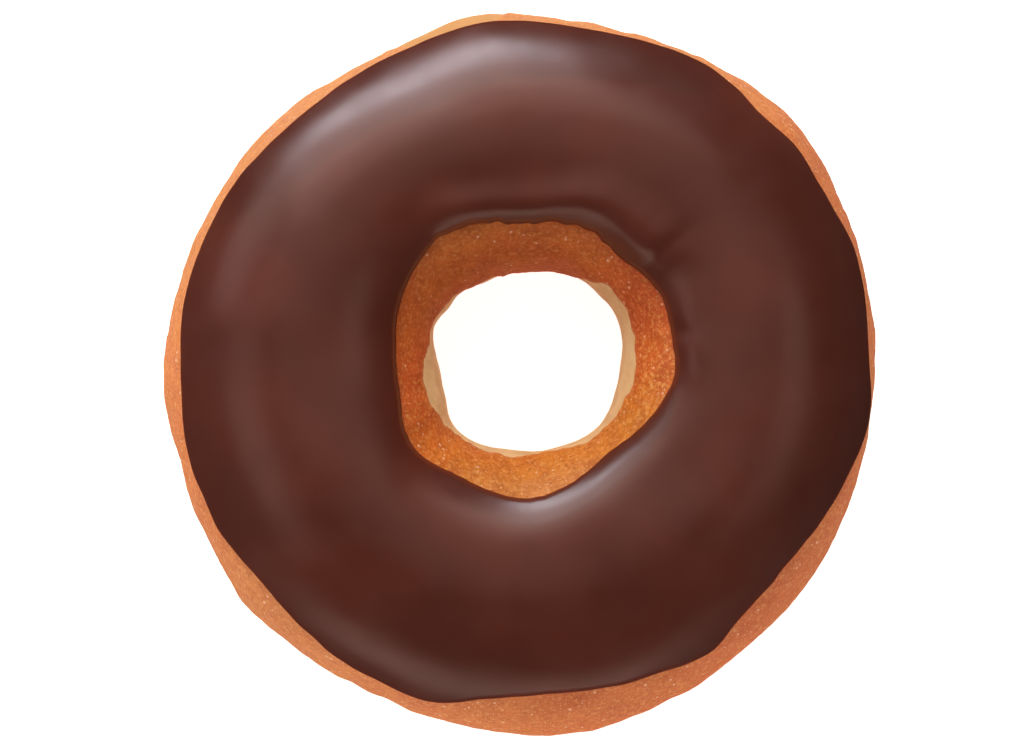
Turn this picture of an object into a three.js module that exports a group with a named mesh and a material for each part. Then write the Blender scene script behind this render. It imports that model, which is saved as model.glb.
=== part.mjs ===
// A ring doughnut: a fried ring of yeast dough with a coat of chocolate icing over its top.
//
// The doughnut lies flat with +Z up. The origin is on the surface it rests on, at the centre of its
// footprint. Lengths are millimetres and angles are degrees.
//
// Both pieces are swept round the ring by one rule. At each azimuth a cross-section is drawn about the
// core, which runs inside the dough half way between the hole and the outside, at the widest height.
// In the section, direction 0 points away from the hole, 90 points up and 180 points into the hole.

import * as THREE from "three";
import { ParametricGeometry } from "three/addons/geometries/ParametricGeometry.js";

// The dough: its mean radii, the height at which it is widest, and the rise from there to its crown.
const outerRadius = 47;
const holeRadius = 12;
const widestHeight = 14.5;
const crownRise = 15.6;

// How much of the round underside is pressed flat where it rests.
const flattening = 1.1;
const underDepth = widestHeight + flattening;

// How full the cross-section is: 2 draws an ellipse, and more draws squarer shoulders.
const sectionFullness = 2.15;

// The icing: its full thickness, and the seam between its underside and the crust.
const icingThickness = 1.5;
const icingSeam = 0.3;

// How soon the icing reaches its full thickness behind its lip: less is blunter.
const lipTaper = 0.35;

// Steps of the surfaces: round the ring, and round each piece's cross-section.
const azimuthSteps = 72;
const doughSteps = 26;
const icingSteps = 24;

// The ring was stretched by hand, so it isn't round. Each list holds [azimuth, value] points.
// How far the outside stands out from its mean radius.
const outerWave = aroundTheRing([
  [0, -0.3],
  [20, 0.7],
  [47, 2.1],
  [72, 0.4],
  [87, 0.3],
  [97, 0.75],
  [112, -0.95],
  [140, -0.6],
  [160, -0.8],
  [182, -0.1],
  [198, -0.8],
  [220, 0.2],
  [242, -0.8],
  [280, 0.8],
  [302, -0.1],
  [340, -0.6],
]);

// How much wider the hole is than its mean radius.
const holeWave = aroundTheRing([
  [0, 1.2],
  [30, 2.8],
  [58, 3],
  [80, 1.8],
  [105, 1],
  [150, 0.9],
  [170, -1],
  [192, -1.9],
  [220, -1.1],
  [258, -2.1],
  [290, -1.6],
  [320, 0.1],
  [340, 0.8],
]);

// How much higher the crown is than its mean rise.
const crownWave = aroundTheRing([
  [0, 0.1],
  [45, -0.3],
  [95, 0.4],
  [150, 0.1],
  [200, 0.5],
  [260, -0.2],
  [310, 0.3],
]);

// The direction of the icing's edge on the outside, above the widest line.
const icingOuterEdge = aroundTheRing([
  [0, 25],
  [20, 26],
  [45, 33],
  [60, 24],
  [76, 27],
  [88, 26],
  [100, 28],
  [115, 26.5],
  [132, 31.5],
  [150, 27],
  [165, 25.5],
  [182, 32],
  [196, 27],
  [220, 38],
  [248, 27],
  [262, 37],
  [280, 44],
  [305, 34],
  [320, 40],
  [345, 27],
  [353, 18.5],
]);

// The direction of the icing's edge in the hole, above the hole's narrowest line.
const icingInnerEdge = aroundTheRing([
  [0, 57],
  [25, 53.5],
  [48, 47],
  [66, 53.5],
  [95, 54],
  [118, 60.5],
  [135, 54],
  [160, 48],
  [185, 46.5],
  [205, 50],
  [235, 45.5],
  [280, 46.5],
  [300, 44],
  [320, 40.5],
  [335, 45.5],
]);

const doughMaterial = new THREE.MeshStandardMaterial({ color: 0xc67a3c, roughness: 0.75, metalness: 0 });
const icingMaterial = new THREE.MeshStandardMaterial({ color: 0x4f2d24, roughness: 0.3, metalness: 0 });

// A smooth closed curve of values round the ring, through points whose first is at azimuth 0.
function aroundTheRing(points) {
  const closed = [...points, [360, points[0][1]]];
  const azimuths = closed.map((point) => point[0]);
  const values = closed.map((point) => point[1]);
  const curve = new THREE.CubicInterpolant(azimuths, values, 1);
  curve.settings = { endingStart: THREE.WrapAroundEnding, endingEnd: THREE.WrapAroundEnding };
  return (azimuth) => curve.evaluate(azimuth)[0];
}

// The dough's cross-section at an azimuth.
function crossSection(azimuth) {
  const outside = outerRadius + outerWave(azimuth);
  const hole = holeRadius + holeWave(azimuth);
  return {
    azimuth,
    coreRadius: (outside + hole) / 2,
    halfWidth: (outside - hole) / 2,
    crown: crownRise + crownWave(azimuth),
  };
}

// The distance from the core to the crust in one direction.
function crustReach(section, direction) {
  const angle = THREE.MathUtils.degToRad(direction);
  const halfHeight = Math.sin(angle) > 0 ? section.crown : underDepth;
  const across = Math.abs(Math.cos(angle)) / section.halfWidth;
  const upright = Math.abs(Math.sin(angle)) / halfHeight;
  return (across ** sectionFullness + upright ** sectionFullness) ** (-1 / sectionFullness);
}

// A point of the ring at a distance from the core. What would sink below Z = 0 is flattened onto it.
function placeOnRing(section, direction, reach, target) {
  const angle = THREE.MathUtils.degToRad(direction);
  const around = THREE.MathUtils.degToRad(section.azimuth);
  const radius = section.coreRadius + reach * Math.cos(angle);
  const height = Math.max(0, widestHeight + reach * Math.sin(angle));
  target.set(radius * Math.cos(around), radius * Math.sin(around), height);
}

// The crust: turn runs from 0 to 1 round the ring, and lap from 0 to 1 round the cross-section.
function doughSurface(turn, lap, target) {
  const section = crossSection(360 * (turn % 1));
  const direction = 360 * (lap % 1);
  placeOnRing(section, direction, crustReach(section, direction), target);
}

// The icing: the first half of the lap is its top, from the outer edge to the edge in the hole,
// and the second half is its underside. The steps bunch up at both lips, which are rounded.
function icingSurface(turn, lap, target) {
  const section = crossSection(360 * (turn % 1));
  const outerEdge = icingOuterEdge(section.azimuth);
  const innerEdge = 180 - icingInnerEdge(section.azimuth);
  const phase = 2 * Math.PI * (lap % 1);
  const direction = THREE.MathUtils.lerp(outerEdge, innerEdge, (1 - Math.cos(phase)) / 2);
  const coat = icingThickness * Math.max(0, Math.sin(phase)) ** lipTaper;
  placeOnRing(section, direction, crustReach(section, direction) + icingSeam + coat, target);
}

function namedMesh(name, geometry, material) {
  const mesh = new THREE.Mesh(geometry, material);
  mesh.name = name;
  return mesh;
}

const group = new THREE.Group();
group.add(
  namedMesh("dough_ring", new ParametricGeometry(doughSurface, azimuthSteps, doughSteps), doughMaterial),
  namedMesh("chocolate_icing", new ParametricGeometry(icingSurface, azimuthSteps, icingSteps), icingMaterial),
);

// The ring is lopsided, so its pieces move until the footprint's centre is at the origin.
const footprint = new THREE.Box3().setFromObject(group);
const centre = footprint.getCenter(new THREE.Vector3());
for (const mesh of group.children) {
  mesh.position.set(-centre.x, -centre.y, 0);
}

export default group;
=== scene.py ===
"""A ring doughnut with chocolate icing, seen from straight above in soft studio light.

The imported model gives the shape: both of its pieces are measured from the core, a line that runs
inside the dough, and are rebuilt as fine meshes with the crust's and the icing's own relief.
Lengths are metres. In a cross-section of the ring, direction 0 points away from the hole,
90 points up and 180 points into the hole.
"""

import math

import bpy
import numpy as np
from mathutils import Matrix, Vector
from mathutils.bvhtree import BVHTree


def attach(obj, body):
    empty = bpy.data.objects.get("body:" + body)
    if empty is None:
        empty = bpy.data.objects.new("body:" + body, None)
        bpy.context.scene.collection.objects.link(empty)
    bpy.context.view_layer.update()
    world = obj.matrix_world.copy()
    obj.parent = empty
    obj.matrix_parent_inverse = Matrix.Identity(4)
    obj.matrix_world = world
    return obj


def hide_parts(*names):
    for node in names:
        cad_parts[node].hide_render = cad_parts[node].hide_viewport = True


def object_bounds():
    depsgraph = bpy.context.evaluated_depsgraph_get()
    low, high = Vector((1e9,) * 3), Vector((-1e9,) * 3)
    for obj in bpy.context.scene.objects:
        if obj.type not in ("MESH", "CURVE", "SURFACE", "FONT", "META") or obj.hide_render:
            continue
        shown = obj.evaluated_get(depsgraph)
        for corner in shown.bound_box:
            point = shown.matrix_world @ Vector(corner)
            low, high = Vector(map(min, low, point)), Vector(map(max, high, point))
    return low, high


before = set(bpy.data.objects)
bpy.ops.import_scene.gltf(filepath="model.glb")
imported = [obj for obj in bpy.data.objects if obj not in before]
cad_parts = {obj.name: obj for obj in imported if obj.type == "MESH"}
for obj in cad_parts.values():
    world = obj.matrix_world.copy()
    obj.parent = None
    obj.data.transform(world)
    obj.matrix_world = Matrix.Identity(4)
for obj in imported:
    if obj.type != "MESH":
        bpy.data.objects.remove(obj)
cad_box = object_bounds()

MM = 0.001

# Steps of the fine meshes, round the ring and round the cross-section.
COLUMNS = 560
DOUGH_ROWS = 176
ICING_ROWS = 176

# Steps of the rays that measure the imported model, and the longest ray that stays in one cross-section.
RAY_AZIMUTHS = 180
RAY_DIRECTIONS = 120
EDGE_DIRECTIONS = 720
WITHIN_SECTION = 25 * MM

# How far the model's facets are smoothed, in degrees, and how many times finer they are then sampled.
AZIMUTH_BLUR = 2.5
DIRECTION_BLUR = 6.0
FINER = 8

# The icing's thickness: how wide its rounded lip is, how thick it is at the lip as a share of the
# whole coat, over what distance it then thickens, and how deep its underside is sunk into the crust.
LIP_RADIUS = 1.7 * MM
LIP_THICKNESS = 0.72
THICKENING = 7.0 * MM
SINK = 0.25 * MM

# Random relief, in layers. Each layer is its height, the distance between its bumps, and its seed.
CRUST_LUMPS = ((0.07 * MM, 14 * MM, 1), (0.07 * MM, 6 * MM, 2))
CRUST_SKIN = ((0.02 * MM, 2.4 * MM, 3), (0.012 * MM, 1.3 * MM, 4))
PROOF_WANDER = ((0.28 * MM, 6 * MM, 11), (0.24 * MM, 2.2 * MM, 12))
ICING_FLOW = ((0.06 * MM, 20 * MM, 31), (0.012 * MM, 8 * MM, 32))

# Blisters stand where a random field of spread 1 is above their threshold.
BLISTER_HEIGHT = 0.07 * MM
BLISTER_SPACING = 3.2 * MM
BLISTER_THRESHOLD = 1.3
BLISTER_SEED = 5

# The pale proof line is smoother than the rest and is sunk a little, with a low ridge beside it. Its
# edge slopes from a little outside the line to a little inside it.
PROOF_SMOOTHING = 0.6
PROOF_SINK = 0.24 * MM
SLOPE_OUTSIDE = 0.3 * MM
SLOPE_INSIDE = 0.5 * MM
RIDGE_HEIGHT = 0.11 * MM
RIDGE_START = 4 * MM
RIDGE_END = 1 * MM

# How much room a hidden row gets on the texture, as a share of a seen row's. A row of the crust is
# hidden where the icing covers most of it, and each row of the icing gets a little room at least.
HIDDEN_CRUST_ROOM = 0.3
HIDDEN_ICING_ROOM = 0.25
MOSTLY_COVERED = 0.9
SMALLEST_ROOM = 0.002


# ---------------------------------------------------------------- curves and noise


def around(points):
    """A smooth closed curve of values round the ring, through (azimuth in degrees, value) points."""
    azimuths = np.array([p[0] for p in points], float)
    values = np.array([p[1] for p in points], float)
    knots = np.concatenate([azimuths - 360, azimuths, azimuths + 360])
    heights = np.tile(values, 3)

    # A cubic joins two neighbouring points. Its slope at each comes from the points on both sides.
    def curve(azimuth):
        at = np.mod(azimuth, 360)
        i = np.searchsorted(knots, at, side="right") - 1
        span = knots[i + 1] - knots[i]
        t = (at - knots[i]) / span
        slope = (heights[i + 1] - heights[i - 1]) / (knots[i + 1] - knots[i - 1])
        next_slope = (heights[i + 2] - heights[i]) / (knots[i + 2] - knots[i])
        return (
            (2 * t**3 - 3 * t**2 + 1) * heights[i]
            + (t**3 - 2 * t**2 + t) * span * slope
            + (3 * t**2 - 2 * t**3) * heights[i + 1]
            + (t**3 - t**2) * span * next_slope
        )

    return curve


def smooth_step(low, high, value):
    """0 below low, 1 above high, and an even ramp between."""
    t = np.clip((value - low) / (high - low), 0, 1)
    return t * t * (3 - 2 * t)


def ripples(points, wavelength, seed, waves=40):
    """An even random field over points in space, of spread 1, with bumps about a wavelength apart."""
    rng = np.random.default_rng(seed)
    ways = rng.normal(size=(waves, 3))
    ways /= np.linalg.norm(ways, axis=1)[:, None]
    turns = 2 * math.pi / wavelength * rng.uniform(0.75, 1.3, waves)
    phases = rng.uniform(0, 2 * math.pi, waves)
    field = np.zeros(points.shape[:-1])
    for way, turn, phase in zip(ways, turns, phases):
        field += np.cos(points @ way * turn + phase)
    return field * math.sqrt(2 / waves)


def layered(points, layers):
    """The sum of several layers of random relief."""
    return sum(height * ripples(points, wavelength, seed) for height, wavelength, seed in layers)


def blur_round(values, blur_steps, axis):
    """Smooths values along a closed axis with a bell curve, blur_steps wide."""
    count = values.shape[axis]
    waves = np.fft.rfftfreq(count)
    keep = np.exp(-2 * (math.pi * waves * blur_steps) ** 2)
    shape = [1] * values.ndim
    shape[axis] = len(waves)
    return np.fft.irfft(np.fft.rfft(values, axis=axis) * keep.reshape(shape), count, axis=axis)


def stretch_round(values, count, axis):
    """Samples a closed axis more finely, with smooth values between."""
    spectrum = np.fft.rfft(values, axis=axis)
    return np.fft.irfft(spectrum, count, axis=axis) * (count / values.shape[axis])


def sample_rows(grid, directions):
    """Values of a grid of evenly spaced directions, read at other directions in radians."""
    count = grid.shape[1]
    steps = np.mod(directions / (2 * math.pi), 1) * count
    low = np.floor(steps).astype(int)
    share = steps - low
    rows = np.arange(grid.shape[0])[:, None]
    return grid[rows, low % count] * (1 - share) + grid[rows, (low + 1) % count] * share


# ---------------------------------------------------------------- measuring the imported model


def tree_of(node):
    """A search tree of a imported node's triangles."""
    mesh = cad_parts[node].data
    corners = [v.co[:] for v in mesh.vertices]
    faces = [p.vertices[:] for p in mesh.polygons]
    return BVHTree.FromPolygons(corners, faces)


def compass(azimuth):
    """The level unit vector at an azimuth in radians."""
    return Vector((math.cos(azimuth), math.sin(azimuth), 0))


def reach_of(tree, origin, way, most=2.0):
    """How far a ray goes to its first hit, or None if it meets nothing within most."""
    return tree.ray_cast(origin, way, most)[3]


class Ring:
    """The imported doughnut, measured from its core."""

    def __init__(self):
        self.dough = tree_of("dough_ring")
        self.icing = tree_of("chocolate_icing")
        corners = np.array([v.co[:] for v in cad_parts["dough_ring"].data.vertices])
        widest = np.argmax(np.hypot(corners[:, 0], corners[:, 1]))
        self.core_height = float(corners[widest, 2])
        self.azimuths = np.arange(RAY_AZIMUTHS) * 2 * math.pi / RAY_AZIMUTHS
        self.measure_core()
        self.measure_crust()
        self.measure_icing()

    def measure_core(self):
        """The core is half way between the hole and the outside, at the widest height."""
        radii = []
        for azimuth in self.azimuths:
            out = compass(azimuth)
            centre = Vector((0, 0, self.core_height))
            hole = reach_of(self.dough, centre, out)
            outside = 1 - reach_of(self.dough, centre + out, -out)
            radii.append((hole + outside) / 2)
        self.core_radius = blur_round(np.array(radii), AZIMUTH_BLUR * RAY_AZIMUTHS / 360, 0)

    def section(self, column, directions):
        """The core's point at a measured column, and unit vectors in the directions, in radians."""
        out = compass(self.azimuths[column])
        core = out * self.core_radius[column] + Vector((0, 0, self.core_height))
        ways = [out * math.cos(d) + Vector((0, 0, math.sin(d))) for d in directions]
        return core, ways

    def measure_crust(self):
        """The distance from the core to the crust, all round every cross-section."""
        directions = np.arange(RAY_DIRECTIONS) * 2 * math.pi / RAY_DIRECTIONS
        grid = np.zeros((RAY_AZIMUTHS, RAY_DIRECTIONS))
        for column in range(RAY_AZIMUTHS):
            core, ways = self.section(column, directions)
            grid[column] = [reach_of(self.dough, core, way) for way in ways]
        grid = blur_round(grid, AZIMUTH_BLUR * RAY_AZIMUTHS / 360, 0)
        self.crust = blur_round(grid, DIRECTION_BLUR * RAY_DIRECTIONS / 360, 1)

    def measure_icing(self):
        """The directions of the icing's two edges, and how far its top stands above the crust."""
        directions = np.linspace(0, math.pi, EDGE_DIRECTIONS)
        outer, inner, tops = [], [], []
        for column in range(RAY_AZIMUTHS):
            core, ways = self.section(column, directions)
            covered = [reach_of(self.icing, core, way, WITHIN_SECTION) is not None for way in ways]
            outer.append(directions[covered.index(True)])
            inner.append(directions[len(covered) - 1 - covered[::-1].index(True)])
            up = Vector((0, 0, 1))
            top = 1 - reach_of(self.icing, core + up, -up)
            tops.append(top - reach_of(self.dough, core, up))
        self.outer_edge = blur_round(np.array(outer), AZIMUTH_BLUR * RAY_AZIMUTHS / 360, 0)
        self.inner_edge = blur_round(np.array(inner), AZIMUTH_BLUR * RAY_AZIMUTHS / 360, 0)
        self.coat = float(np.median(tops))

    def columns(self, values):
        """Values measured round the ring, resampled to the fine columns."""
        return stretch_round(values, COLUMNS, 0)

    def crust_reach(self, directions):
        """The crust's distance from the core at each fine column and each direction in radians."""
        return sample_rows(stretch_round(self.columns(self.crust), RAY_DIRECTIONS * FINER, 1), directions)

    def place(self, directions, reach):
        """Points in space for a grid of directions and distances from the core."""
        azimuth = np.arange(COLUMNS)[:, None] * 2 * math.pi / COLUMNS
        radius = self.columns(self.core_radius)[:, None] + reach * np.cos(directions)
        height = self.core_height + reach * np.sin(directions)
        return np.stack([radius * np.cos(azimuth), radius * np.sin(azimuth), height], axis=-1)


# ---------------------------------------------------------------- meshes


def tube_mesh(name, points, row_shares):
    """A closed mesh round the ring from a grid of points, columns by rows.

    row_shares gives each row's start down the texture, from 0 to 1, with one more entry at the end.
    The ring lies on the texture in two strips, half of it in each.
    """
    columns, rows = points.shape[:2]
    index = np.arange(columns * rows).reshape(columns, rows)
    here = index
    along = np.roll(index, -1, axis=0)
    faces = np.stack([here, along, np.roll(along, -1, axis=1), np.roll(here, -1, axis=1)], axis=-1)
    faces = faces.reshape(-1, 4)

    mesh = bpy.data.meshes.new(name)
    mesh.vertices.add(columns * rows)
    mesh.vertices.foreach_set("co", points.reshape(-1))
    mesh.loops.add(faces.size)
    mesh.loops.foreach_set("vertex_index", faces.reshape(-1).astype(np.int32))
    mesh.polygons.add(len(faces))
    mesh.polygons.foreach_set("loop_start", np.arange(0, faces.size, 4, dtype=np.int32))
    mesh.update(calc_edges=True)

    half = columns // 2
    margin = 0.01
    column = np.arange(columns)
    strip = column // half
    left = (column - strip * half) / half
    right = (column - strip * half + 1) / half
    top = np.broadcast_to(row_shares[:-1], (columns, rows))
    bottom = np.broadcast_to(row_shares[1:], (columns, rows))
    across = np.stack([left, right, right, left], axis=-1)[:, None, :]
    across = margin + (1 - 2 * margin) * np.broadcast_to(across, (columns, rows, 4))
    down = np.stack([top, top, bottom, bottom], axis=-1)
    down = strip[:, None, None] * 0.5 + margin + (0.5 - 2 * margin) * down
    layer = mesh.uv_layers.new(name="OFBake")
    layer.data.foreach_set("uv", np.stack([across, down], axis=-1).reshape(-1).astype(np.float32))

    mesh.shade_smooth()
    piece = bpy.data.objects.new(name, mesh)
    bpy.context.scene.collection.objects.link(piece)
    return piece


def paint(piece, name, values):
    """Stores one number for each vertex, for the material to read."""
    layer = piece.data.attributes.new(name, "FLOAT", "POINT")
    layer.data.foreach_set("value", np.ascontiguousarray(values, np.float32).reshape(-1))


def shares(weights):
    """Where rows start and end down the texture, from how much room each row should have."""
    return np.concatenate([[0], np.cumsum(weights)]) / np.sum(weights)


# ---------------------------------------------------------------- the dough

# The proof line is the pale band that never went under in the fryer. In the hole and on the outside
# it wanders: each curve gives the direction of its upper edge above the widest line, in degrees.
PROOF_TOP_IN_HOLE = around([
    (0, 28), (14, 26), (32, 23), (44, 23), (54, 16), (63, 3), (75, -12), (94, -12), (104, 6), (114, 10),
    (136, 12), (148, 14), (160, 17), (176, 26), (190, 29), (207, 24), (222, 13), (240, 12), (262, 15),
    (278, 13), (292, 12), (305, 15), (322, 19), (340, 23),
])
PROOF_TOP_OUTSIDE = around([
    (0, -6), (80, -6), (90, 2), (96, 30), (105, 30), (112, 4), (120, -4), (170, -5), (178, 5), (190, -4),
    (280, -8),
])

# How far down the band goes from the widest line, or from its upper edge where that is lower.
PROOF_DEPTH = 19

# Lumps that only the fine mesh has: how far the crust fills the hole or stands out, in millimetres.
FILL_IN_HOLE = around([
    (0, 0.3), (15, 0.1), (30, 0.2), (45, 0.55), (57, 0.5), (68, 0.05), (85, 0.2), (100, -0.1), (112, 0.15),
    (128, -0.1), (138, 0.35), (152, 0), (175, 0.2), (195, 0.15), (212, 0), (256, -0.15), (270, -0.15),
    (290, 0.1), (312, 0.2), (330, 0.2), (348, 0.6),
])
FILL_OUTSIDE = around([
    (0, 0), (28, -0.3), (42, 0.1), (56, -0.3), (66, 0), (84, -0.1), (97, 0.35), (112, -0.1), (152, 0.2),
    (190, 0.15), (225, -0.1), (236, 0.2), (265, 0.05), (280, 0.2), (290, 0), (312, 0.25), (336, 0.3),
    (350, 0.1),
])

# How brown the crust is, from 0 for gold to 1.5 for red-brown, partly from frying and partly as painted
# light and shade, and how much fine pale grain and painted glint shows.
BROWNING_AND_SHADE_IN_HOLE = around([
    (0, 0.9), (12, 1.05), (30, 1.6), (45, 1.35), (60, 0.95), (90, 0.85), (120, 0.85), (150, 1.0),
    (180, 1.3), (200, 1.0), (240, 0.5), (280, 0.15), (320, 0.2), (345, 0.45),
])
BROWNING_AND_SHADE_OUTSIDE = around([
    (0, 0.8), (30, 0.8), (60, 0.4), (110, 0.1), (150, 0.25), (190, 0.6), (230, 0.5), (280, 0.85),
    (320, 0.9),
])
GRAIN_AND_GLINT_IN_HOLE = around([
    (0, 1), (30, 0.4), (90, 0.25), (150, 0.25), (210, 0.45), (250, 0.9), (290, 1), (330, 1),
])
GRAIN_AND_GLINT_OUTSIDE = 0.8


def proof_band(directions, reach, azimuth):
    """How far each point is inside the pale band, in metres, less than 0 outside it."""
    above_outside = np.degrees(np.mod(directions + math.pi, 2 * math.pi) - math.pi)
    above_hole = np.degrees(np.mod(math.pi - directions + math.pi, 2 * math.pi) - math.pi)
    tops = (PROOF_TOP_OUTSIDE(azimuth), PROOF_TOP_IN_HOLE(azimuth))
    depths = []
    for above, top in zip((above_outside, above_hole), tops):
        bottom = np.minimum(top, 0) - PROOF_DEPTH
        inside = np.minimum(top - above, above - bottom)
        depths.append(np.radians(inside) * reach)
    return np.maximum(*depths)


def make_dough(ring):
    """The fried dough: the measured crust with its lumps, blisters and proof line.

    It returns the finished crust's distance from the core, for the icing to sit on.
    """
    directions = np.arange(DOUGH_ROWS) * 2 * math.pi / DOUGH_ROWS
    directions = np.broadcast_to(directions, (COLUMNS, DOUGH_ROWS))
    azimuth = np.degrees(np.arange(COLUMNS) * 2 * math.pi / COLUMNS)[:, None]
    reach = ring.crust_reach(directions)
    base = ring.place(directions, reach)

    pale = proof_band(directions, reach, azimuth) + layered(base, PROOF_WANDER)
    in_band = smooth_step(-SLOPE_OUTSIDE, SLOPE_INSIDE, pale)
    beside_band = smooth_step(-RIDGE_START, -RIDGE_END, pale)

    past_threshold = np.maximum(ripples(base, BLISTER_SPACING, BLISTER_SEED) - BLISTER_THRESHOLD, 0)
    skin = layered(base, CRUST_SKIN) + BLISTER_HEIGHT * past_threshold
    skin = skin * (1 - PROOF_SMOOTHING * in_band)
    sideways = np.cos(directions)
    in_hole = sideways < 0
    fill = np.where(in_hole, FILL_IN_HOLE(azimuth), FILL_OUTSIDE(azimuth)) * MM * sideways**2
    relief = layered(base, CRUST_LUMPS) + skin + RIDGE_HEIGHT * beside_band - PROOF_SINK * in_band + fill
    points = ring.place(directions, reach + relief)

    # The underside is pressed flat where the ring rests.
    points[..., 2] = np.maximum(points[..., 2], 0)

    outer = ring.columns(ring.outer_edge)[:, None]
    inner = ring.columns(ring.inner_edge)[:, None]
    covered = (directions > outer) & (directions < inner)
    weights = np.where(covered.mean(axis=0) > MOSTLY_COVERED, HIDDEN_CRUST_ROOM, 1.0)
    piece = tube_mesh("fried_dough_ring", points, shares(weights))
    paint(piece, "pale_depth_mm", pale / MM)
    # The browning painted on here is partly real frying and partly painted light and shade, and the grain
    # also sets where the painted glints show.
    paint(piece, "browning_and_shade", np.where(in_hole, BROWNING_AND_SHADE_IN_HOLE(azimuth), BROWNING_AND_SHADE_OUTSIDE(azimuth)))
    paint(piece, "grain_and_glint", np.where(in_hole, GRAIN_AND_GLINT_IN_HOLE(azimuth), GRAIN_AND_GLINT_OUTSIDE))
    paint(piece, "in_hole", in_hole)
    piece.data.materials.append(crust_material())
    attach(piece, "root")
    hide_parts("dough_ring")
    return reach + relief


# ---------------------------------------------------------------- the icing

# How many of the icing's rows run over its top. The others run back underneath.
TOP_ROWS = 140

# How much the icing's edges waver, in degrees of direction. The one in the hole wavers most on the
# far side.
OUTER_WAVER = 0.2
INNER_WAVER = around([(0, 0.15), (35, 0.2), (55, 0.5), (90, 0.6), (115, 0.3), (150, 0.1), (240, 0.1)])
OUTER_WAVER_SEED = 21
INNER_WAVER_SEED = 22

# The bead of icing that has gathered above the hole, mostly on its far side: how high it stands, how
# far it is from the edge and half its width, all in millimetres.
INNER_BEAD = around([
    (0, 0.3), (10, 0.5), (22, 0.2), (34, 0.2), (46, 1.2), (60, 1.2), (78, 0.95), (108, 0.75), (124, 0.25),
    (150, 0), (240, 0), (300, 0.1), (330, 0.2),
])
BEAD_FROM_EDGE = around([(0, 3.0), (30, 3.6), (46, 4.8), (62, 4.6), (76, 3.7), (90, 3.2), (180, 3.0)])
BEAD_WIDTH = around([(0, 2.2), (34, 2.2), (48, 3.0), (62, 3.0), (78, 2.4), (100, 2.2)])

# The icing is thicker towards the hole on the near side, in millimetres.
INNER_SWELL = around([
    (0, 0.2), (40, 0), (180, 0), (225, 0.25), (255, 0.5), (285, 0.65), (315, 0.95), (335, 0.8),
])
SWELL_FROM_EDGE = 4.6 * MM
SWELL_WIDTH = 4.0 * MM

# Folds where the icing set as it ran: azimuth, distance from the edge in the hole, half width in
# degrees, half length and depth.
FOLDS = (
    (41, 5.5 * MM, 2.6, 3.5 * MM, 0.18 * MM),
    (15, 2.0 * MM, 3.5, 1.8 * MM, 0.22 * MM),
)

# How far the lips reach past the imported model's edges, in millimetres. Those edges stand on a seam
# above the crust, and these follow the small steps of the outer edge as well.
OUTER_OVERHANG = around([
    (0, 0.1), (20, 0.3), (30, -0.1), (40, 0.35), (48, -0.2), (60, 0.1), (200, 0.2), (208, 0.5), (216, 0.2),
    (234, 0.3), (246, 0), (256, 0.6), (264, 0.1), (284, 0.35), (296, 0.1), (304, 0.4), (311, -0.2),
    (322, 0.1),
])
INNER_OVERHANG = around([
    (0, 0.7), (12, 1.05), (24, 0.55), (36, 0.3), (50, 0.6), (70, 0.4), (96, 0.6), (118, 0.4), (146, 0.62),
    (162, 0.45), (200, 0.45), (232, 0.65), (246, 0.45), (262, 0.4), (290, 0.53), (318, 0.35), (335, 0.4),
    (350, 0.7),
])


def edge_waver(azimuth, seed, fewest=11, most=70, step=4, scale=1.8):
    """Small in-and-out steps along an icing edge: waves that get lower as they get shorter."""
    rng = np.random.default_rng(seed)
    field = np.zeros_like(azimuth)
    for waves in range(fewest, most, step):
        phase = rng.uniform(0, 2 * math.pi)
        field = field + np.cos(np.radians(azimuth) * waves + phase) * (fewest / waves) ** 0.5
    return field / scale


def folds(azimuth, to_inner):
    """How deep the folds are at points of the icing."""
    depth = 0
    for at, from_edge, spread, length, deepest in FOLDS:
        turn = (np.mod(azimuth - at + 180, 360) - 180) / spread
        along = (to_inner - from_edge) / length
        depth = depth + deepest * np.exp(-(turn**2) - along**2)
    return depth


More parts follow.
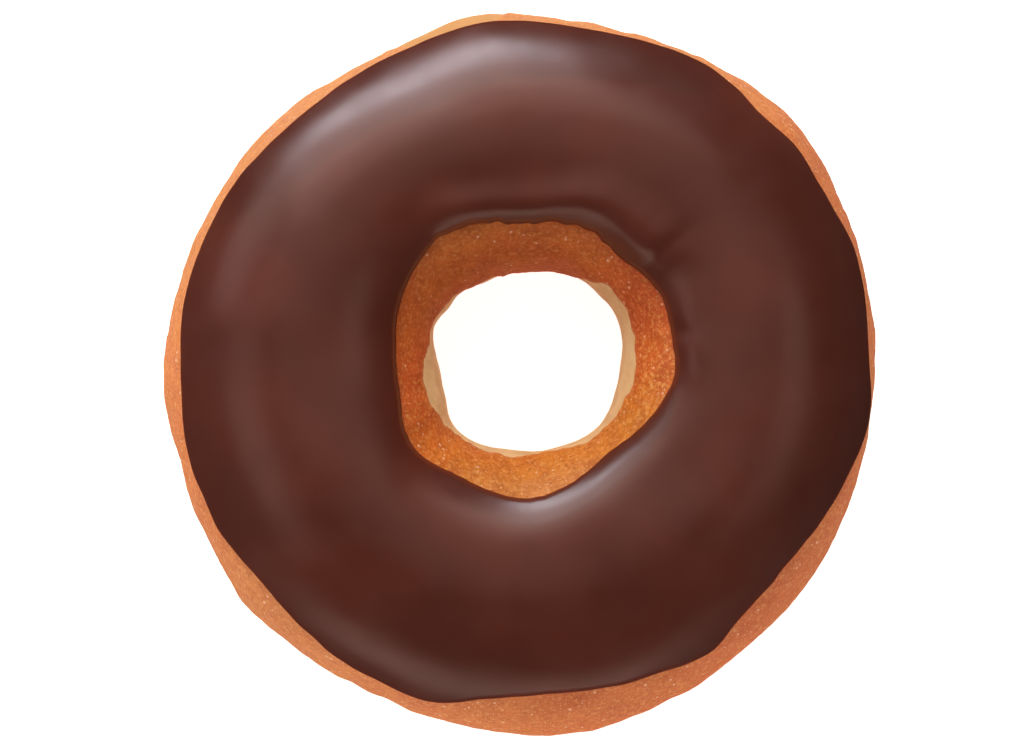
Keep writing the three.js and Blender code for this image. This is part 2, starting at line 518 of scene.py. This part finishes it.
def make_icing(ring, dough_reach):
    """The chocolate icing: a coat over the crown with soft rounded lips, sitting on the crust."""
    azimuth = np.degrees(np.arange(COLUMNS) * 2 * math.pi / COLUMNS)[:, None]
    outer = ring.columns(ring.outer_edge)[:, None]
    inner = ring.columns(ring.inner_edge)[:, None]
    outer = outer - OUTER_OVERHANG(azimuth) * MM / (sample_rows(dough_reach, outer) * np.sin(outer))
    inner = inner + INNER_OVERHANG(azimuth) * MM / (sample_rows(dough_reach, inner) * np.sin(inner))
    even_inner = inner
    outer = outer + np.radians(OUTER_WAVER) * edge_waver(azimuth, OUTER_WAVER_SEED)
    inner = inner + np.radians(INNER_WAVER(azimuth)) * edge_waver(azimuth, INNER_WAVER_SEED)

    # The rows run over the top from the outer edge to the inner one, and back underneath.
    top = (1 - np.cos(np.linspace(0, math.pi, TOP_ROWS))) / 2
    back = np.linspace(1, 0, ICING_ROWS - TOP_ROWS + 2)[1:-1]
    share = np.concatenate([top, back])[None, :]
    directions = outer + (inner - outer) * share

    crust = sample_rows(dough_reach, directions)
    to_edge = np.minimum(share, 1 - share) * (inner - outer) * crust
    lip = np.sqrt(np.clip(1 - (1 - np.minimum(to_edge / LIP_RADIUS, 1)) ** 2, 0, 1))
    body = LIP_THICKNESS + (1 - LIP_THICKNESS) * (1 - np.exp(-to_edge / THICKENING))
    to_inner = (even_inner - directions) * crust
    from_bead = (to_inner / MM - BEAD_FROM_EDGE(azimuth)) / BEAD_WIDTH(azimuth)
    bead = INNER_BEAD(azimuth) * MM * np.exp(-(from_bead**2))
    swell = INNER_SWELL(azimuth) * MM * np.exp(-(((to_inner - SWELL_FROM_EDGE) / SWELL_WIDTH) ** 2))
    coat = (ring.coat * body + bead + swell - folds(azimuth, to_inner)) * lip
    coat[:, TOP_ROWS:] = 0

    # The top follows the smooth crust, because icing fills the small hollows, and the underside sits
    # on the finished crust.
    smooth_crust = ring.crust_reach(directions)
    base = ring.place(directions, smooth_crust + coat)
    top_reach = smooth_crust + coat + layered(base, ICING_FLOW) * lip
    on_top = np.arange(ICING_ROWS)[None, :] < TOP_ROWS
    reach = np.where(on_top, np.maximum(top_reach, crust - SINK), crust - SINK)
    points = ring.place(directions, reach)

    weights = np.where(np.arange(ICING_ROWS) < TOP_ROWS - 1, 1.0, HIDDEN_ICING_ROOM)
    widths = np.abs(np.diff(np.append(share[0], share[0, 0]))) + SMALLEST_ROOM
    piece = tube_mesh("chocolate_icing_coat", points, shares(weights * widths))
    paint(piece, "to_edge_mm", np.where(on_top, to_edge, 0) / MM)
    piece.data.materials.append(icing_material())
    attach(piece, "root")
    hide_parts("chocolate_icing")


# ---------------------------------------------------------------- materials


class Nodes:
    """Short ways to add and join the nodes of one material."""

    def __init__(self, name):
        self.material = bpy.data.materials.new(name)
        self.material.use_nodes = True
        self.tree = self.material.node_tree
        self.shader = self.tree.nodes["Principled BSDF"]

    def add(self, kind, **inputs):
        """A new node with some of its inputs set or joined."""
        node = self.tree.nodes.new(kind)
        for key, value in inputs.items():
            self.feed(node.inputs[key], value)
        return node

    def feed(self, socket, value):
        """Joins a socket to another one, or sets its number or colour."""
        if isinstance(value, bpy.types.NodeSocket):
            self.tree.links.new(value, socket)
        else:
            socket.default_value = value

    def attribute(self, name):
        """A number that was painted on the mesh."""
        node = self.tree.nodes.new("ShaderNodeAttribute")
        node.attribute_name = name
        return node.outputs["Fac"]

    def noise(self, size, detail=2.0, roughness=0.5):
        """Noise over the piece's own coordinates, with features about size metres apart."""
        place = self.tree.nodes.new("ShaderNodeTexCoord").outputs["Object"]
        shape = {"Scale": 1 / size, "Detail": detail, "Roughness": roughness}
        return self.add("ShaderNodeTexNoise", Vector=place, **shape).outputs["Fac"]

    def dots(self, size, rarity, most, widest=0.42):
        """Round dots in cells about size metres wide, 0 between them and most inside them.

        They are fewer the nearer rarity is to 1. The widest has a radius of that share of a cell.
        """
        place = self.tree.nodes.new("ShaderNodeTexCoord").outputs["Object"]
        cells = self.add("ShaderNodeTexVoronoi", Vector=place, Scale=1 / size)
        chance = self.tree.nodes.new("ShaderNodeSeparateColor")
        self.feed(chance.inputs["Color"], cells.outputs["Color"])
        radius = self.ramp(chance.outputs["Red"], rarity, 1.0, 0.0, widest)
        shape = self.math("SUBTRACT", radius, cells.outputs["Distance"])
        return self.ramp(shape, -0.06, 0.1, 0.0, most)

    def math(self, operation, first, second):
        """A sum, difference or product of two numbers."""
        node = self.tree.nodes.new("ShaderNodeMath")
        node.operation = operation
        self.feed(node.inputs[0], first)
        self.feed(node.inputs[1], second)
        return node.outputs[0]

    def ramp(self, value, low, high, to_low=0.0, to_high=1.0):
        """to_low where value is low or past it, to_high where it is high or past it, smooth between."""
        node = self.tree.nodes.new("ShaderNodeMapRange")
        node.interpolation_type = "SMOOTHSTEP"
        for socket, number in zip(node.inputs, (value, low, high, to_low, to_high)):
            self.feed(socket, number)
        return node.outputs["Result"]

    def blend(self, share, first, second):
        """Two colours mixed, all of the first at share 0 and all of the second at share 1."""
        node = self.tree.nodes.new("ShaderNodeMix")
        node.data_type = "RGBA"
        self.feed(node.inputs["Factor"], share)
        self.feed(node.inputs["A"], first)
        self.feed(node.inputs["B"], second)
        return node.outputs["Result"]

    def bump(self, height, distance, strength, normal=None):
        """A normal bent by a height from 0 to 1 that stands for distance metres."""
        node = self.tree.nodes.new("ShaderNodeBump")
        node.inputs["Distance"].default_value = distance
        node.inputs["Strength"].default_value = strength
        self.feed(node.inputs["Height"], height)
        if normal is not None:
            self.feed(node.inputs["Normal"], normal)
        return node.outputs["Normal"]


def linear(red, green, blue):
    """A colour given as it looks on a screen, 0 to 255, as the linear colour a shader takes."""
    channels = []
    for value in (red, green, blue):
        share = value / 255
        channels.append(share / 12.92 if share <= 0.04045 else ((share + 0.055) / 1.055) ** 2.4)
    return (*channels, 1.0)


# The colours of the fried crust, with a painted glint that stands for its oily highlights, of its pale
# proof line, and of the icing.
GOLD = linear(226, 134, 32)
RED_BROWN = linear(210, 88, 34)
MOTTLED_BROWN = linear(176, 80, 26)
DARK_GRAIN = linear(150, 66, 22)
PALE_GRAIN = linear(240, 176, 100)
PAINTED_GLINT = linear(244, 168, 84)
PALE_BLUSH = linear(224, 157, 112)
RED_BLUSH = linear(220, 102, 48)
DUST = linear(250, 200, 130)
SPECK = linear(250, 200, 160)
DARK_CREAM = linear(236, 196, 138)
LIGHT_CREAM = linear(246, 214, 158)
OUTSIDE_CREAM = linear(214, 150, 82)
PROOF_EDGE = linear(232, 156, 80)
DARK_ICING = linear(72, 29, 19)
LIGHT_ICING = linear(83, 35, 23)
THIN_ICING = linear(110, 38, 20)


def crust_colour_and_painted_light(n, mottle, grain):
    """Gold to red-brown, partly by how long the crust fried and partly as painted light and shade, with
    mottling, fine grain, painted glints and pale specks.
    """
    # The browning attribute is partly real frying and partly painted light and shade, golder or browner
    # round the ring to stand in for how light falls.
    browning_and_shade = n.attribute("browning_and_shade")
    grain_and_glint = n.attribute("grain_and_glint")
    patches = n.math("MULTIPLY", n.math("SUBTRACT", n.noise(9 * MM, 3, 0.55), 0.5), 1.2)
    frying_and_shade = n.math("ADD", browning_and_shade, patches)

    brown = n.blend(n.ramp(frying_and_shade, 0.0, 1.5), GOLD, RED_BROWN)
    brown = n.blend(n.ramp(mottle, 0.35, 0.75, 0, 0.5), brown, MOTTLED_BROWN)
    brown = n.blend(n.ramp(grain, 0.46, 0.3, 0, 0.4), brown, DARK_GRAIN)
    brown = n.blend(n.ramp(grain, 0.5, 0.7, 0, 0.35), brown, PALE_GRAIN)
    # Painted glints: pale patches that stand for the oily crust's highlights, strongest where the grain
    # attribute is high.
    painted_glints = n.ramp(n.noise(1.0 * MM, 3, 0.7), 0.5, 0.68, 0, 0.55)
    brown = n.blend(n.math("MULTIPLY", painted_glints, grain_and_glint), brown, PAINTED_GLINT)

    # The outside of the ring has a duller, pinker tone than the hole.
    outside = n.blend(0.4, brown, n.blend(browning_and_shade, PALE_BLUSH, RED_BLUSH))
    brown = n.blend(n.attribute("in_hole"), outside, brown)
    dust = n.dots(0.34 * MM, 0.35, 0.45)
    brown = n.blend(n.math("MULTIPLY", dust, grain_and_glint), brown, DUST)
    return n.blend(n.dots(0.55 * MM, 0.92, 0.7), brown, SPECK)


def crust_material():
    """Fried crust, browner on one side of the hole partly from frying and partly as painted shade, with a
    fine pale grain, painted glints and a cream proof line.
    """
    n = Nodes("fried crust")
    mottle = n.noise(2.2 * MM, 3, 0.6)
    grain = n.noise(0.5 * MM, 3, 0.6)

    cream = n.blend(n.ramp(mottle, 0.3, 0.7), DARK_CREAM, LIGHT_CREAM)
    cream = n.blend(n.attribute("in_hole"), OUTSIDE_CREAM, cream)
    depth = n.attribute("pale_depth_mm")
    colour = n.blend(n.ramp(depth, -1.1, 0.0, 0, 0.25), crust_colour_and_painted_light(n, mottle, grain), PROOF_EDGE)
    colour = n.blend(n.ramp(depth, -0.12, 0.16), colour, cream)
    n.feed(n.shader.inputs["Base Color"], colour)

    n.feed(n.shader.inputs["Roughness"], n.ramp(mottle, 0.3, 0.7, 0.5, 0.68))
    n.shader.inputs["IOR"].default_value = 1.42
    skin = n.bump(mottle, 0.25 * MM, 0.5)
    n.feed(n.shader.inputs["Normal"], n.bump(grain, 0.12 * MM, 0.9, skin))
    return n.material


def icing_material():
    """Dark chocolate icing, set with a satin gloss, redder where it thins out towards its edges."""
    n = Nodes("chocolate icing")
    clouds = n.ramp(n.noise(16 * MM), 0.3, 0.7)
    thin = n.ramp(n.attribute("to_edge_mm"), 0.0, 2.0, 0.7, 0.0)
    brown = n.blend(thin, n.blend(clouds, DARK_ICING, LIGHT_ICING), THIN_ICING)
    n.feed(n.shader.inputs["Base Color"], brown)
    n.feed(n.shader.inputs["Roughness"], n.ramp(n.noise(5 * MM), 0.3, 0.7, 0.30, 0.36))
    n.shader.inputs["IOR"].default_value = 1.5
    n.feed(n.shader.inputs["Normal"], n.bump(n.noise(7 * MM), 0.1 * MM, 0.25))
    return n.material


# ---------------------------------------------------------------- the stage

# How far the floor goes each way, how far it is below the doughnut, and how bright it glows.
FLOOR_REACH = 3.0
FLOOR_DROP = 0.05 * MM
FLOOR_GLOW = 0.88


def floor_material():
    """A matt white that glows, so that it looks as white as the background."""
    n = Nodes("white floor")
    n.shader.inputs["Base Color"].default_value = (0.8, 0.8, 0.8, 1)
    n.shader.inputs["Roughness"].default_value = 0.9
    n.shader.inputs["Emission Color"].default_value = (1, 1, 1, 1)
    n.shader.inputs["Emission Strength"].default_value = FLOOR_GLOW
    return n.material


def make_floor():
    """A wide white floor just under the doughnut, which lights its sides but isn't mirrored in it."""
    mesh = bpy.data.meshes.new("floor")
    corners = [(x * FLOOR_REACH, y * FLOOR_REACH, 0) for x, y in ((-1, -1), (1, -1), (1, 1), (-1, 1))]
    mesh.from_pydata(corners, [], [(0, 1, 2, 3)])
    floor = bpy.data.objects.new("floor", mesh)
    floor.location.z = -FLOOR_DROP
    mesh.materials.append(floor_material())
    floor.visible_glossy = False
    bpy.context.scene.collection.objects.link(floor)


def soft_box(name, azimuth, elevation, distance, width, height, radiance, colour):
    """A flat soft light that faces the doughnut, placed by its direction in degrees."""
    data = bpy.data.lights.new(name, "AREA")
    data.shape = "RECTANGLE"
    data.size = width
    data.size_y = height
    data.energy = radiance * math.pi * width * height
    data.color = colour
    light = bpy.data.objects.new(name, data)
    climb = math.radians(elevation)
    way = compass(math.radians(azimuth)) * math.cos(climb) + Vector((0, 0, math.sin(climb)))
    target = Vector((0, 0, cad_box[1].z / 2))
    light.location = target + way * distance
    light.rotation_euler = way.to_track_quat("Z", "Y").to_euler()
    bpy.context.scene.collection.objects.link(light)
    return light


# The studio's soft boxes: azimuth, elevation, distance, width, height, the brightness that is mirrored
# in the doughnut and its tint, and the brightness that lights its colours, which is a warm white.
LILAC = (0.92, 0.93, 1.0)
ROSE = (1.0, 0.88, 0.84)
COCOA = (1.0, 0.74, 0.64)
WARM = (1.0, 0.98, 0.93)
SOFT_BOXES = {
    "key": (107, 11, 0.80, 0.66, 0.30, 11.0, LILAC, 2.2),
    "key west": (147, 22, 0.80, 0.40, 0.40, 1.7, ROSE, 1.4),
    "key top": (106, 34, 0.80, 0.64, 0.36, 3.8, ROSE, 6.6),
    "sky": (104, 53, 0.36, 0.40, 0.17, 2.2, COCOA, 3.0),
    "east sky": (0, 55, 0.80, 0.40, 0.30, 1.2, COCOA, 0.0),
    "west sky": (195, 48, 0.80, 0.40, 0.34, 1.3, COCOA, 0.0),
    "overhead": (90, 80, 0.30, 0.24, 0.14, 0.7, COCOA, 1.0),
    "fill": (266, 14, 0.80, 0.95, 0.40, 1.6, COCOA, 1.5),
    "soft west": (202, 8, 0.80, 0.60, 0.45, 0.0, WARM, 1.5),
    "soft south west": (240, 4, 0.80, 0.50, 0.35, 0.0, WARM, 2.6),
    "soft south east": (310, 2, 0.80, 0.60, 0.35, 0.0, WARM, 3.1),
}

# How bright the even light from all round is.
AMBIENT = 0.25


def make_lights():
    """A bright low window beyond the doughnut, a weak one on the near side, and soft light between."""
    for name, (*place, mirrored, tint, cast) in SOFT_BOXES.items():
        for part, brightness, colour in (("mirrored", mirrored, tint), ("cast", cast, WARM)):
            if brightness > 0:
                light = soft_box(name + " " + part, *place, brightness, colour)
                light.visible_glossy = part == "mirrored"
                light.visible_diffuse = part == "cast"


def make_world():
    """White behind the doughnut, and a dimmer even light from all round that isn't mirrored in it."""
    world = bpy.data.worlds.new("studio")
    bpy.context.scene.world = world
    world.use_nodes = True
    world.cycles_visibility.glossy = False
    tree = world.node_tree
    background = tree.nodes["Background"]
    seen = tree.nodes.new("ShaderNodeLightPath").outputs["Is Camera Ray"]
    strength = tree.nodes.new("ShaderNodeMapRange")
    tree.links.new(seen, strength.inputs["Value"])
    strength.inputs["To Min"].default_value = AMBIENT
    strength.inputs["To Max"].default_value = 1.0
    tree.links.new(strength.outputs["Result"], background.inputs["Strength"])
    background.inputs["Color"].default_value = (1, 1, 1, 1)


# The camera: its sensor and lens in millimetres, how wide a view it has at the doughnut's widest
# line, the point it looks at, and how far it sees.
SENSOR_WIDTH = 36
LENS = 420
VIEW_WIDTH = 135.1 * MM
VIEW_CENTRE = (-1.0 * MM, -0.1 * MM)
FARTHEST = 10


def make_camera(ring):
    """A long lens that looks straight down, with the doughnut a little right of the middle."""
    data = bpy.data.cameras.new("camera")
    data.sensor_width = SENSOR_WIDTH
    data.lens = LENS
    data.clip_end = FARTHEST
    camera = bpy.data.objects.new("camera", data)
    camera.location = (*VIEW_CENTRE, ring.core_height + VIEW_WIDTH * LENS / SENSOR_WIDTH)
    bpy.context.scene.collection.objects.link(camera)
    bpy.context.scene.camera = camera


ring = Ring()
dough_reach = make_dough(ring)
make_icing(ring, dough_reach)
make_floor()
make_lights()
make_world()
make_camera(ring)
bpy.context.scene.view_settings.view_transform = "Standard"
